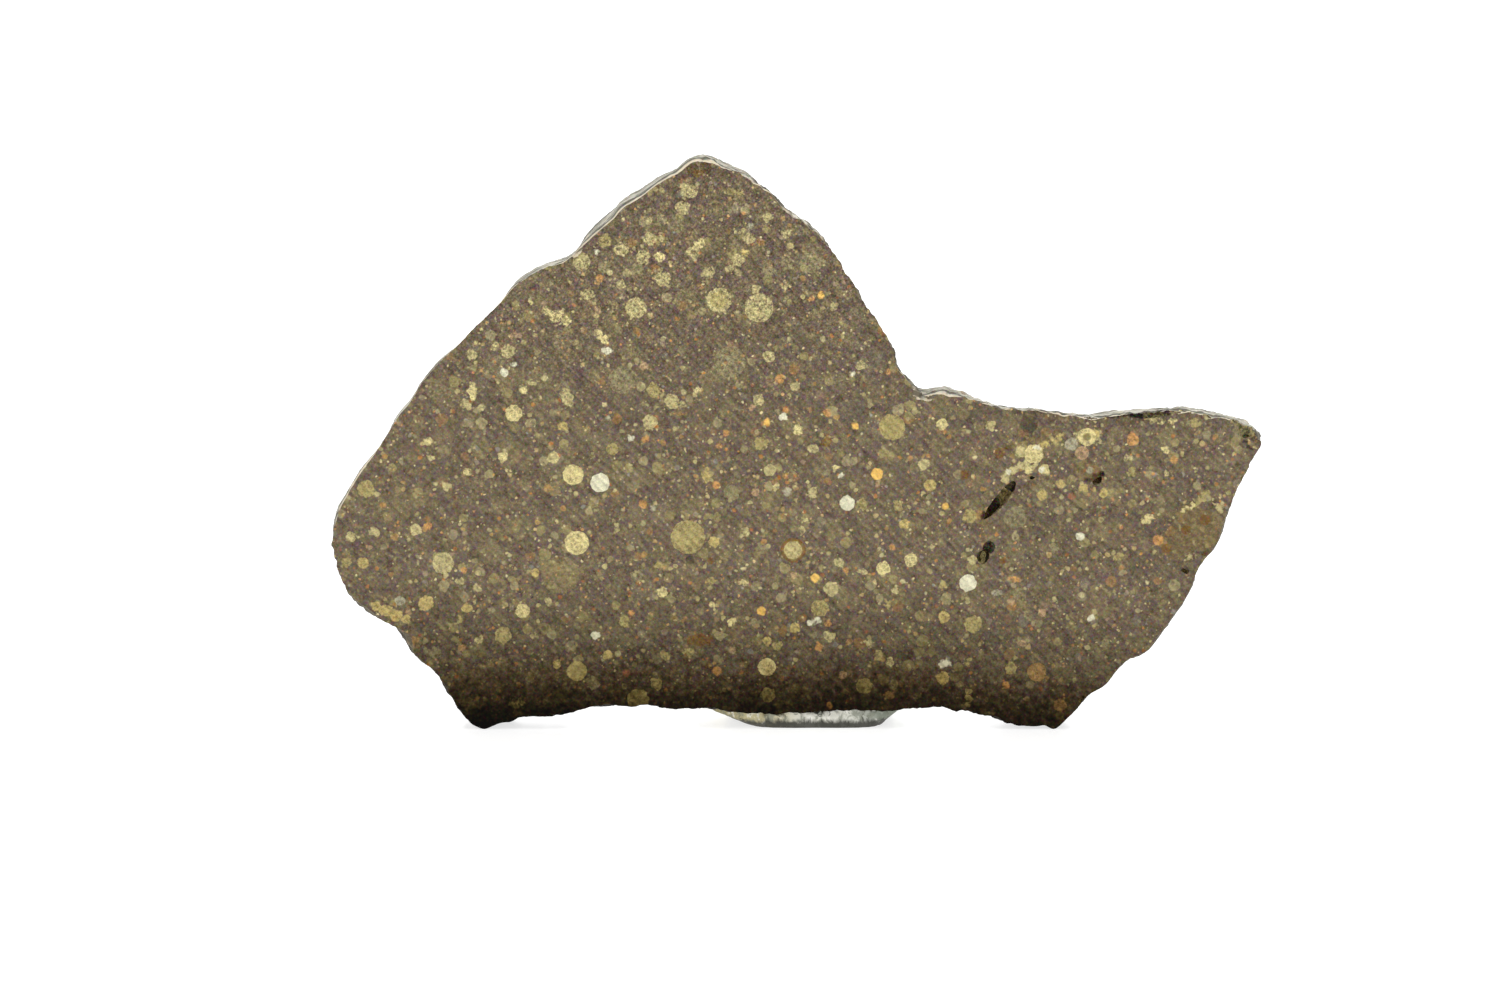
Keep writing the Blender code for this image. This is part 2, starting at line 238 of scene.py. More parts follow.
# The larger grains of the sawn front, where the photograph shows them: (x, y, width, height, turn in degrees).
GRAINS_PX = {
    "shade": [
        (1029, 424, 20, 15, 0), (690, 560, 9, 9, 0), (905, 655, 20, 12, 0),
    ],
    "umber": [
        (693, 169, 13, 11, 0), (706, 168, 14, 10, 0), (721, 172, 26, 5, -25), (1095, 477, 16, 8, 15),
        (683, 177, 10, 4, 30), (1030, 437, 16, 5, 20), (1010, 447, 12, 5, 30), (1205, 553, 10, 6, 20),
        (1218, 545, 6, 8, 0),
    ],
    "clay": [
        (1200, 530, 40, 46, 0), (1178, 543, 34, 34, 0), (1188, 512, 26, 16, 30), (1040, 440, 46, 14, 22),
        (1085, 470, 22, 16, 0), (982, 517, 20, 16, 0),
    ],
    "faint": [
        (717, 208, 12, 10, 0), (1015, 444, 14, 4, 20), (1027, 453, 14, 16, 0), (1009, 494, 5, 5, 0),
        (1216, 518, 12, 14, 0), (560, 575, 40, 36, 0), (655, 569, 9, 8, 0), (768, 564, 6, 10, 0),
        (771, 631, 4, 4, 0), (1022, 606, 20, 7, -52), (1071, 626, 10, 7, 0), (488, 662, 8, 5, 0),
        (468, 704, 14, 12, 0),
    ],
    "green": [
        (661, 220, 12, 10, 0), (604, 267, 13, 12, 0), (636, 269, 10, 14, 0), (768, 271, 14, 12, 0),
        (787, 263, 14, 14, 0), (810, 263, 22, 20, 0), (623, 380, 30, 26, 0), (730, 362, 38, 25, 0),
        (1056, 437, 14, 5, 20), (1087, 436, 10, 14, 0), (1188, 424, 14, 6, 0), (1242, 432, 20, 14, -30),
        (732, 493, 18, 12, 0), (1015, 518, 22, 22, 0), (1017, 519, 20, 18, 0), (762, 548, 10, 14, 0),
        (1054, 548, 9, 9, 0), (637, 576, 12, 12, 0), (1084, 588, 8, 8, 0), (1012, 600, 20, 5, 35),
        (1031, 618, 16, 6, -52), (432, 652, 18, 10, 0), (1020, 641, 16, 8, 0), (1105, 644, 8, 8, 0),
        (593, 683, 14, 12, 0),
    ],
    "olive": [
        (739, 193, 9, 7, 0), (605, 241, 14, 12, 0), (654, 390, 14, 14, 0), (892, 427, 18, 26, 0),
        (1195, 423, 9, 9, 0), (613, 449, 11, 12, 0), (761, 443, 16, 12, 0), (827, 441, 9, 9, 0),
        (1132, 471, 10, 9, 0), (366, 489, 20, 14, 0), (862, 504, 12, 10, 0), (898, 505, 8, 12, 0),
        (970, 516, 16, 12, 0), (1201, 499, 22, 8, 50), (688, 537, 34, 34, 0), (793, 550, 22, 20, 0),
        (1118, 557, 8, 8, 0), (347, 563, 10, 8, 0), (659, 566, 9, 9, 0), (711, 581, 8, 8, 0), (943, 584, 8, 8, 0),
        (461, 619, 7, 7, 0), (503, 635, 18, 16, 0), (625, 621, 11, 11, 0), (820, 608, 16, 18, 0),
        (888, 604, 9, 9, 0), (973, 624, 17, 17, 0), (665, 655, 10, 10, 0), (689, 652, 12, 8, 0),
        (778, 646, 10, 10, 0), (879, 655, 10, 10, 0), (968, 663, 6, 10, 0), (1011, 668, 10, 14, 0),
        (517, 704, 14, 8, 0), (638, 700, 22, 22, 0), (657, 684, 12, 12, 0), (768, 695, 18, 12, 0),
        (864, 686, 16, 16, 0), (968, 698, 8, 16, 0),
    ],
    "tan": [
        (701, 286, 5, 6, 0), (678, 414, 16, 4, 0), (1199, 433, 6, 6, 0), (548, 488, 8, 8, 0), (980, 515, 8, 8, 0),
        (395, 537, 8, 8, 0), (684, 620, 6, 6, 0), (415, 640, 9, 8, 0), (462, 648, 6, 8, 0), (849, 642, 6, 6, 0),
        (1037, 672, 16, 22, 0), (890, 695, 8, 8, 0), (1060, 705, 14, 12, 0),
    ],
    "pale": [
        (690, 191, 17, 14, 0), (648, 221, 8, 8, 0), (650, 239, 13, 13, 0), (661, 237, 7, 8, 0),
        (683, 208, 12, 16, 0), (749, 239, 12, 10, 0), (768, 217, 10, 9, 0), (786, 234, 10, 10, 0),
        (582, 262, 18, 16, 0), (621, 249, 14, 14, 0), (643, 257, 14, 14, 0), (663, 279, 18, 12, 0),
        (693, 252, 12, 12, 0), (709, 272, 10, 12, 0), (730, 268, 9, 8, 0), (738, 260, 14, 12, 0),
        (587, 295, 16, 10, 0), (621, 285, 9, 9, 0), (636, 308, 20, 22, 0), (756, 289, 8, 8, 0),
        (759, 308, 30, 28, 0), (785, 285, 10, 8, 0), (833, 306, 7, 7, 0), (472, 355, 10, 10, 0),
        (508, 351, 14, 14, 0), (769, 356, 12, 12, 0), (534, 382, 8, 5, 0), (567, 398, 12, 20, 20),
        (795, 386, 9, 9, 0), (861, 365, 12, 8, 0), (466, 404, 10, 10, 0), (482, 407, 7, 10, 0),
        (650, 422, 12, 18, 0), (672, 401, 14, 16, 0), (679, 405, 14, 8, 0), (758, 400, 12, 12, 0),
        (991, 426, 10, 10, 0), (431, 457, 6, 6, 0), (814, 449, 9, 9, 0), (924, 464, 11, 11, 0),
        (1005, 477, 10, 8, 0), (1012, 470, 15, 9, 20), (1020, 452, 12, 10, 0), (1027, 466, 20, 12, 0),
        (1078, 436, 8, 8, 0), (1098, 438, 6, 16, 0), (1128, 457, 8, 5, 0), (1168, 473, 6, 6, 0),
        (447, 486, 8, 8, 0), (812, 493, 12, 10, 0), (1220, 508, 10, 8, 0), (351, 537, 10, 10, 0),
        (374, 532, 12, 8, 0), (416, 530, 12, 12, 0), (616, 525, 6, 12, 0), (745, 532, 7, 10, 0),
        (802, 531, 6, 7, 0), (932, 548, 5, 5, 0), (1191, 556, 12, 5, 25), (443, 563, 24, 20, 0),
        (460, 581, 8, 8, 0), (477, 588, 9, 7, 0), (831, 589, 16, 13, 0), (839, 562, 9, 9, 0), (863, 572, 8, 5, 0),
        (895, 590, 7, 7, 0), (973, 560, 10, 8, -20), (479, 639, 8, 6, 0), (549, 602, 9, 9, 0),
        (829, 636, 11, 11, 0), (869, 644, 8, 8, 0), (890, 662, 8, 8, 0),
    ],
    "brown": [
        (698, 173, 11, 7, 0), (1100, 474, 6, 4, 0), (1205, 520, 10, 12, 0), (1186, 530, 12, 8, 20),
        (964, 475, 10, 9, 0), (1000, 453, 12, 10, 0), (1166, 549, 12, 8, 0), (711, 561, 7, 7, 0),
        (1003, 561, 8, 7, 0), (700, 640, 26, 14, 0),
    ],
    "grey": [
        (750, 227, 8, 8, 0), (608, 417, 5, 4, 0), (1071, 444, 12, 14, 0), (1090, 470, 8, 6, 0), (653, 508, 6, 6, 0),
        (787, 492, 9, 9, 0), (997, 593, 10, 6, 0), (400, 601, 10, 10, 0),
    ],
    "pink": [
        (598, 310, 8, 8, 0), (516, 336, 12, 6, 0), (644, 366, 9, 9, 0), (752, 407, 6, 6, 0), (1082, 453, 15, 12, 0),
        (1030, 477, 22, 4, 0), (755, 492, 8, 8, 0), (878, 482, 5, 10, 0), (794, 575, 7, 7, 0), (408, 611, 6, 6, 0),
        (1011, 602, 7, 7, 0), (1042, 613, 8, 8, 0), (732, 650, 7, 7, 0), (843, 675, 8, 8, 0), (1022, 644, 10, 5, 0),
    ],
    "red": [
        (1072, 496, 8, 7, 0), (626, 673, 8, 8, 0),
    ],
    "orange": [
        (600, 278, 8, 8, 0), (811, 299, 6, 6, 0), (780, 379, 9, 9, 0), (888, 372, 6, 6, 0), (646, 439, 7, 7, 0),
        (726, 433, 6, 6, 0), (786, 410, 6, 6, 0), (827, 413, 8, 8, 0), (1132, 437, 10, 8, 0), (719, 446, 5, 5, 0),
        (786, 476, 5, 5, 0), (910, 459, 5, 5, 0), (1133, 440, 10, 14, 20), (1174, 460, 9, 6, 0),
        (383, 505, 6, 6, 0), (643, 504, 8, 8, 0), (716, 485, 7, 7, 0), (428, 526, 8, 8, 0), (892, 547, 6, 6, 0),
        (1158, 540, 10, 12, 0), (464, 570, 6, 6, 0), (846, 570, 5, 5, 0), (1015, 579, 12, 5, 0),
        (631, 613, 6, 6, 0), (828, 623, 7, 7, 0), (717, 671, 9, 9, 0), (819, 647, 8, 8, 0), (829, 705, 6, 6, 0),
        (1006, 685, 6, 8, 0),
    ],
    "yellow": [
        (745, 253, 9, 9, 0), (563, 426, 10, 10, 0), (1094, 434, 8, 12, 0), (706, 475, 9, 14, 0),
        (1048, 443, 28, 6, 25), (1059, 436, 10, 4, 25), (930, 485, 12, 12, 0), (1042, 495, 9, 12, 0),
        (1061, 484, 9, 9, 0), (1083, 488, 8, 10, 0), (1104, 493, 10, 7, 0), (714, 542, 10, 10, 0),
        (904, 524, 10, 10, 0), (363, 563, 12, 10, 0), (535, 573, 8, 8, 0), (391, 613, 42, 13, -24),
        (426, 603, 14, 16, 0), (467, 608, 10, 10, 0), (795, 628, 10, 10, 0), (944, 617, 12, 12, 0),
        (557, 664, 9, 9, 0), (577, 671, 20, 18, 0), (607, 655, 9, 9, 0), (767, 641, 9, 9, 0), (943, 678, 14, 12, 0),
    ],
    "amber": [
        (821, 295, 7, 7, 0), (767, 422, 7, 7, 0), (855, 426, 7, 7, 0), (877, 474, 12, 12, 0), (945, 506, 7, 7, 0),
        (815, 578, 9, 9, 0), (762, 611, 10, 8, 0),
    ],
    "cream": [
        (1163, 421, 26, 4, 0), (660, 257, 10, 10, 0), (700, 243, 10, 11, 0), (1034, 454, 18, 20, 0),
        (1044, 469, 11, 10, 0), (1028, 470, 9, 7, 0), (556, 316, 31, 13, -25), (495, 346, 8, 8, 0),
        (598, 334, 8, 10, 0), (605, 340, 8, 8, 0), (473, 391, 10, 18, 0), (523, 389, 8, 8, 0), (697, 389, 10, 6, 0),
        (514, 413, 17, 17, 0), (798, 427, 6, 6, 0), (799, 430, 12, 9, 0), (942, 424, 12, 12, 0),
        (428, 441, 8, 10, 0), (467, 472, 8, 8, 0), (503, 457, 12, 8, 0), (510, 472, 6, 6, 0), (553, 457, 12, 12, 0),
        (573, 475, 23, 18, 0), (836, 469, 7, 7, 0), (1166, 450, 8, 8, 0), (776, 487, 6, 6, 0),
        (1148, 519, 14, 9, 25), (1188, 508, 16, 6, 30), (577, 543, 22, 26, 0), (805, 520, 8, 5, 0),
        (662, 592, 11, 11, 0), (743, 583, 8, 5, 0), (883, 568, 14, 14, 0), (911, 560, 15, 12, 0),
        (523, 611, 14, 14, 0), (712, 606, 5, 5, 0), (732, 622, 8, 10, 0), (767, 667, 18, 18, 0),
    ],
    "white": [
        (597, 252, 3, 3, 0), (1042, 470, 5, 5, 0), (1008, 472, 6, 4, 20), (1037, 447, 5, 6, 0),
        (878, 262, 14, 12, 0), (607, 351, 10, 6, 0), (504, 372, 8, 8, 0), (513, 363, 5, 5, 0), (852, 373, 4, 4, 0),
        (630, 438, 10, 4, 0), (783, 417, 8, 8, 0), (841, 476, 5, 5, 0), (600, 483, 19, 19, 0),
        (847, 503, 15, 15, 0), (1080, 536, 9, 7, 0), (968, 583, 17, 17, 0), (596, 635, 8, 8, 0),
        (814, 621, 13, 6, 20), (1091, 618, 7, 7, 0), (945, 664, 13, 8, 0),
    ],
    # Painted shadow in the cracks along the arm's edge and in the holes.
    "pit_shadow": [
        (1122, 415, 32, 6, 3), (1152, 414, 36, 5, 2), (1011, 486, 9, 6, 50), (993, 506, 8, 5, 50),
        (985, 515, 11, 7, 30), (989, 547, 13, 12, 0), (983, 557, 13, 12, 0), (1102, 475, 8, 6, 20),
        (1087, 480, 5, 4, 0), (1248, 445, 14, 3, -55), (1030, 476, 3, 3, 0),
    ],
}

# Round grains with a pale rim round a darker middle: (x, y, outer size, inner size), with the tones of both.
RINGS_PX = [
    (719, 300, 25, 17, "pale", "olive"),
    (770, 470, 12, 6, "pale", "faint"),
    (892, 427, 26, 17, "olive", "faint"),
    (827, 442, 10, 5, "brown", "faint"),
    (577, 671, 20, 12, "olive", "faint"),
    (793, 550, 25, 18, "brown", "pale"),
    (1087, 437, 18, 8, "cream", "umber"),
]


class Value:
    """A number or colour on its way through a finish's nodes. Arithmetic on it adds the Math nodes."""

    def __init__(self, finish, socket):
        self.finish = finish
        self.socket = socket

    def output(self, name):
        """Another output of the node that this value comes from."""
        return Value(self.finish, self.socket.node.outputs[name])

    def maths(self, operation, *values):
        return self.finish.add("ShaderNodeMath", {"operation": operation}, values)

    def __add__(self, other):
        return self.maths("ADD", self, other)

    __radd__ = __add__

    def __sub__(self, other):
        return self.maths("SUBTRACT", self, other)

    def __rsub__(self, other):
        return self.maths("SUBTRACT", other, self)

    def __mul__(self, other):
        return self.maths("MULTIPLY", self, other)

    __rmul__ = __mul__

    def __truediv__(self, other):
        return self.maths("DIVIDE", self, other)

    def __lt__(self, other):
        return self.maths("LESS_THAN", self, other)

    def __abs__(self):
        return self.maths("ABSOLUTE", self)


class Nodes:
    """A tree of shader nodes, with the ways to add to it."""

    def __init__(self, tree):
        self.tree = tree

    def add(self, kind, settings=None, values=(), **named):
        """Adds a node, makes its settings, then fills its sockets in order or by name. Gives its first output."""
        node = self.tree.nodes.new(kind)
        for name, setting in (settings or {}).items():
            if name == "stops":
                self.set_stops(node.color_ramp, setting)
            else:
                setattr(node, name, setting)
        sockets = [socket for socket in node.inputs if socket.enabled]
        for socket, value in zip(sockets, values):
            self.fill(socket, value)
        for name, value in named.items():
            wanted = name.replace("_", " ")
            self.fill(next(socket for socket in sockets if socket.name == wanted), value)
        return Value(self, next((socket for socket in node.outputs if socket.enabled), None))

    def set_stops(self, ramp, stops):
        while len(ramp.elements) < len(stops):
            ramp.elements.new(1.0)
        for element, (position, colour) in zip(ramp.elements, stops):
            element.position = position
            element.color = colour

    def fill(self, socket, value):
        if isinstance(value, Value):
            self.tree.links.new(value.socket, socket)
        else:
            socket.default_value = value

    def place(self):
        """The place on the object, in millimetres."""
        metres = self.add("ShaderNodeTexCoord").output("Object")
        return self.add("ShaderNodeVectorMath", {"operation": "SCALE"}, Vector=metres, Scale=1 / MM)

    def noise(self, place, spacing, detail=2.0, roughness=0.5):
        """Cloudy noise between 0 and 1, around 0.5."""
        return self.add(
            "ShaderNodeTexNoise", {}, Vector=place, Scale=1 / spacing, Detail=detail, Roughness=roughness
        )

    def warped(self, place, spacing, reach):
        """The place pushed about by noise, so that what is drawn on it has uneven edges."""
        push = self.add("ShaderNodeSeparateColor", {}, (self.noise(place, spacing, 1.0).output("Color"),))
        push = self.add("ShaderNodeCombineXYZ", {}, (push, push.output("Green"), push.output("Blue")))
        centred = self.add("ShaderNodeVectorMath", {"operation": "SUBTRACT"}, (push, (0.5, 0.5, 0.5)))
        return self.add(
            "ShaderNodeVectorMath", {"operation": "MULTIPLY_ADD"}, (centred, (2 * reach,) * 3, place)
        )

    def band(self, value, start, end, low=0.0, high=1.0):
        """Rises smoothly from low at start to high at end; start may be the larger."""
        return self.add(
            "ShaderNodeMapRange", {"interpolation_type": "SMOOTHSTEP"}, (value, start, end, low, high)
        )

    def ramp(self, value, stops, read=None):
        """A colour that goes from stop to stop as the value rises from 0 to 1."""
        colours = [(position, (read or tone)(colour)) for position, colour in stops]
        return self.add("ShaderNodeValToRGB", {"stops": colours}, (value,))

    def jittered(self, colour, place, spacing, reach):
        """The colour made lighter, darker, redder or greener from place to place."""
        cloud = self.noise(place, spacing, 2.0, 0.6).output("Color")
        return self.mix(colour, cloud, reach, "LINEAR_LIGHT")

    def mix(self, under, over, share, blend="MIX"):
        return self.add(
            "ShaderNodeMix", {"data_type": "RGBA", "blend_type": blend}, Factor=share, A=under, B=over
        )

    def shaded(self, colour, brightness):
        """A colour times a number that may vary over the surface."""
        return self.add("ShaderNodeVectorMath", {"operation": "SCALE"}, Vector=colour, Scale=brightness)


class Finish(Nodes):
    """One material and its nodes."""

    def __init__(self, name):
        self.material = bpy.data.materials.new(name)
        self.material.use_nodes = True
        super().__init__(self.material.node_tree)
        self.shader = self.tree.nodes["Principled BSDF"]

    def give(self, name, value):
        """Sets or links one socket of the shader."""
        self.fill(self.shader.inputs[name], value)

    def bump(self, height, depth_mm, strength=1.0):
        relief = self.add(
            "ShaderNodeBump", {}, Strength=strength, Distance=depth_mm * MM, Height=height
        )
        self.give("Normal", relief)


def plain_tone(code):
    """A colour written as six hexadecimal digits, as the linear numbers that a shader takes."""
    parts = [int(code[start:start + 2], 16) / 255 for start in (0, 2, 4)]
    linear = [part / 12.92 if part <= 0.04045 else ((part + 0.055) / 1.055) ** 2.4 for part in parts]
    return (*linear, 1.0)


def tone(code):
    """The surface's own colour where the photograph shows this one."""
    return (*(part / LIGHT_GAIN for part in plain_tone(code)[:3]), 1.0)


def front_place(x_px, y_px):
    """The (x, z) in millimetres on the sawn front that the photograph shows at this pixel."""
    focal_px = LENS_MM / SENSOR_MM * PHOTO_WIDTH_PX
    rise = (PHOTO_CENTRE_PX[1] - y_px) / focal_px
    up = rise * DISTANCE_MM / (math.cos(LOOKING_DOWN) + rise * math.sin(LOOKING_DOWN))
    away = DISTANCE_MM - up * math.sin(LOOKING_DOWN)
    return AIM_X_MM + (x_px - PHOTO_CENTRE_PX[0]) * away / focal_px, AIM_Z_MM + up


def px_per_mm():
    return LENS_MM / SENSOR_MM * PHOTO_WIDTH_PX / DISTANCE_MM


def scatter(finish, colour, place, spacing, share, sizes, stops, soft=0.06, strength=1.0):
    """Lays one size of round grains over a colour. Each cell of this spacing may hold one, of random size and tone."""
    cells = finish.add("ShaderNodeTexVoronoi", {}, Vector=place, Scale=1 / spacing)
    dice = finish.add("ShaderNodeSeparateColor", {}, (cells.output("Color"),))
    reach = dice * (sizes[1] - sizes[0]) + sizes[0]
    present = dice.output("Green") < share
    inside = finish.band(cells - reach, soft, -soft, 0.0, strength)
    return finish.mix(colour, finish.ramp(dice.output("Blue"), stops), inside * present)


def balls_of(grain):
    """A grain as one ball or a row of them, each with its middle as (x, z) and its radius, in millimetres."""
    x_px, y_px, width_px, height_px, turn = grain
    x, z = front_place(x_px, y_px)
    long, short = (side / 2 / px_per_mm() for side in sorted((width_px, height_px), reverse=True))
    if long < LONG_FROM * short:
        return [(x, z, (long + short) / 2)]
    count = max(math.ceil(BALLS_PER_LENGTH * long / short), FEWEST_BALLS)
    lean = math.radians(turn if width_px > height_px else turn + 90)
    balls = []
    for index in range(count):
        share = 2 * index / (count - 1) - 1
        step = share * (long - GRAIN_TIP * short)
        balls.append((x + step * math.cos(lean), z + step * math.sin(lean), short * (1 - (1 - GRAIN_TIP) * share**2)))
    return balls


def ball_group(name, balls):
    """A group of nodes that says how far outside the nearest ball a place is, as a difference of squares.

    The balls are equally large, and a smaller grain is one that the saw cut nearer its edge.
    """
    radius = max(cut_radius for _, _, cut_radius in balls) * BALL_MARGIN
    tree = bpy.data.node_groups.new(name, "ShaderNodeTree")
    tree.interface.new_socket("Place", in_out="INPUT", socket_type="NodeSocketVector")
    tree.interface.new_socket("Away", in_out="OUTPUT", socket_type="NodeSocketFloat")
    nodes = Nodes(tree)
    place = nodes.add("NodeGroupInput")
    nearest = None
    for x, z, cut_radius in balls:
        middle = (x, FRONT_MM + math.sqrt(radius**2 - cut_radius**2), z)
        away = nodes.add("ShaderNodeVectorMath", {"operation": "DISTANCE"}, (place, middle))
        nearest = away if nearest is None else away.maths("MINIMUM", nearest, away)
    nodes.add("NodeGroupOutput", {}, (nearest * nearest - radius**2,))
    return tree


def paint_grains(finish, colour, place, mottle, name, grains, kind):
    """Paints these grains of one kind over a colour."""
    balls = [ball for grain in grains for ball in balls_of(grain)]
    away = finish.add("ShaderNodeGroup", {"node_tree": ball_group(name, balls)}, (place,))
    code, cover = GRAIN_TONES[kind]
    inside = finish.band(away, GRAIN_EDGE, -GRAIN_EDGE, 0.0, cover)
    return finish.mix(colour, tone(code), inside * mottle)


def stone_colour(finish, near, uneven):
    """The cut stone: a grey-brown ground full of small grains and crystals."""
    colour = finish.ramp(finish.noise(near, 0.8, 3.0, 0.7), GROUND_TONES)
    patches = finish.band(finish.noise(near, 0.45, 2.0), 0.47, 0.6, 0.0, 0.75)
    colour = finish.mix(colour, tone(MAUVE), patches)
    for spacing, share, sizes, soft, strength, tones in SMALL_GRAINS:
        place = uneven if spacing > UNEVEN_FROM_MM else near
        colour = scatter(finish, colour, place, spacing, share, sizes, tones, soft, strength)
    return colour


def saw_marks(finish, place):
    """The saw's fine straight marks, which run down to the right: a number around 0."""
    across = finish.add("ShaderNodeVectorMath", {"operation": "DOT_PRODUCT"}, (place, (SLANT, 0.0, SLANT)))
    along = finish.add("ShaderNodeVectorMath", {"operation": "DOT_PRODUCT"}, (place, (SLANT, 0.0, -SLANT)))
    drawn_out = finish.add("ShaderNodeCombineXYZ", {}, (across, along * SAW_STREAK))
    streaks = finish.noise(drawn_out, 0.36, 1.0) - 0.5
    phase = across * (2 * math.pi / SAW_PITCH_MM) + streaks * 5.0
    lines = phase.maths("SINE", phase)
    return lines * 0.5 + streaks * 3.0


def placed_grains(finish, colour, place, mottle):
    """The larger grains of the front, each where it is on the real slice."""
    for kind, grains in GRAINS_PX.items():
        evenness = 1.0 if kind in SMOOTH_KINDS else mottle
        colour = paint_grains(finish, colour, place, evenness, f"{kind}_grains", grains, kind)
    for x_px, y_px, outer, inner, rim, middle in RINGS_PX:
        name = f"ring_at_{x_px}_{y_px}"
        colour = paint_grains(finish, colour, place, mottle, name, [(x_px, y_px, outer, outer, 0)], rim)
        colour = paint_grains(finish, colour, place, mottle, name, [(x_px, y_px, inner, inner, 0)], middle)
    return colour


def height_share(finish, place):
    """How high a place is in the painted shade at the stone's foot, from 0 at the floor: the shaded foot is lower at
    the right.
    """
    spread = finish.add("ShaderNodeSeparateXYZ", {}, (place,))
    right = finish.band(spread, 5.0, 25.0, 0.0, 1.6)
    drift = finish.noise(place, 2.2, 2.0) * 2.0 + finish.noise(place, 0.5, 2.0, 0.6) * 5.6 - 3.8
    return (spread.output("Z") + right + drift) / SHADE_REACH_MM


def painted_foot_shade(finish, share, power=1.0):
    """The shade painted into the stone towards its foot, as the photograph shows. A power below 1 is a part of that.
    """
    return finish.ramp(share, FOOT_SHADES, lambda code: tuple(part**power for part in plain_tone(code)))


def broad_shades(finish, colour, place):
    """The broad soft areas of painted shade on the front."""
    for x_px, y_px, width_px, height_px, kept in SHADES_PX:
        x, z = front_place(x_px, y_px)
        stretch = (2 * px_per_mm() / width_px, 0.0, 2 * px_per_mm() / height_px)
        shift = (-x * stretch[0], 0.0, -z * stretch[2])
        local = finish.add("ShaderNodeVectorMath", {"operation": "MULTIPLY_ADD"}, (place, stretch, shift))
        away = finish.add("ShaderNodeVectorMath", {"operation": "LENGTH"}, (local,))
        colour = finish.shaded(colour, finish.band(away, 1.3, 0.2, 1.0, kept))
    return colour


def sawn_stone():
    """The flat sawn faces, and the walls of the small open holes in them, with shade painted in towards the foot, in
    broad soft patches, in the holes and cracks, along the saw's marks and as stronger contrast higher up.
    """
    finish = Finish("sawn_chondrite")
    place = finish.place()
    near = place
    for spacing, reach in OUTLINE_PUSHES:
        near = finish.warped(near, spacing, reach)
    uneven = finish.warped(near, *BROAD_PUSH)
    depth = finish.add("ShaderNodeSeparateXYZ", {}, (place,)).output("Y")
    colour = stone_colour(finish, near, uneven)
    towards_back = finish.band(depth, FRONT_MM + 1.0, BACK_MM - 1.0, 0.0, 0.7)
    colour = scatter(
        finish, colour, uneven, BACK_GRAINS_MM, BACK_GRAIN_SHARE, BACK_GRAIN_SIZES, BACK_GRAIN_TONES, 0.02,
        towards_back,
    )
    share = height_share(finish, place)
    # Painted shade towards the foot: a part of it lies under the larger grains.
    colour = finish.mix(colour, painted_foot_shade(finish, share, UNDER_GRAINS), 1.0, "MULTIPLY")
    speckle = finish.noise(near, SPECKLE_MM, 3.0, 0.75)
    # In the holes, and in the flakes behind the front, the colour turns to their brown with painted shade.
    sunk = finish.band(depth - FRONT_MM, HOLE_FROM_MM, HOLE_FULL_MM)
    rear = finish.band(BACK_MM - depth, HOLE_FROM_MM, HOLE_FULL_MM)
    inside = finish.ramp(speckle, HOLE_TONES)
    colour = finish.mix(colour, inside, sunk * rear)
    height = finish.add("ShaderNodeSeparateXYZ", {}, (place,)).output("Z")
    # Higher up the grains let more dark crystals through, as painted light and shade.
    dark = finish.band(speckle, 0.54, 0.38, 0.0, 1.0) * finish.band(height, *FINE_FROM_TO_MM, *DARK_CRYSTALS)
    colour = placed_grains(finish, colour, near, 1.0 - dark)
    colour = finish.shaded(colour, finish.band(speckle, 0.32, 0.68, 0.83, 1.19))
    colour = finish.jittered(colour, place, 0.15, 0.085)
    # Higher up the fine speckle is stronger, as painted light and shade.
    contrast = finish.band(height, *FINE_FROM_TO_MM, *FINE_SPECKLE_CONTRAST)
    colour = finish.shaded(colour, (finish.noise(place, FINE_SPECKLE_MM, 2.0, 0.7) - 0.5) * contrast + 1.0)
    marks = saw_marks(finish, place)
    # The saw's marks lighten and darken the colour, partly as painted light and shade of their grooves.
    colour = finish.shaded(colour, marks * SAW_CONTRAST + 1.0)
    colour = broad_shades(finish, colour, place)
    # The rest of the painted shade towards the foot, over the larger grains.
    colour = finish.mix(colour, painted_foot_shade(finish, share, OVER_GRAINS), 1.0, "MULTIPLY")
    finish.give("Base Color", colour)
    finish.give("Roughness", 0.6)
    finish.give("Specular IOR Level", 0.06)
    finish.bump(marks * 0.3 + finish.noise(place, 0.25, 2.0, 0.6), 0.04, 0.35)
    return finish.material


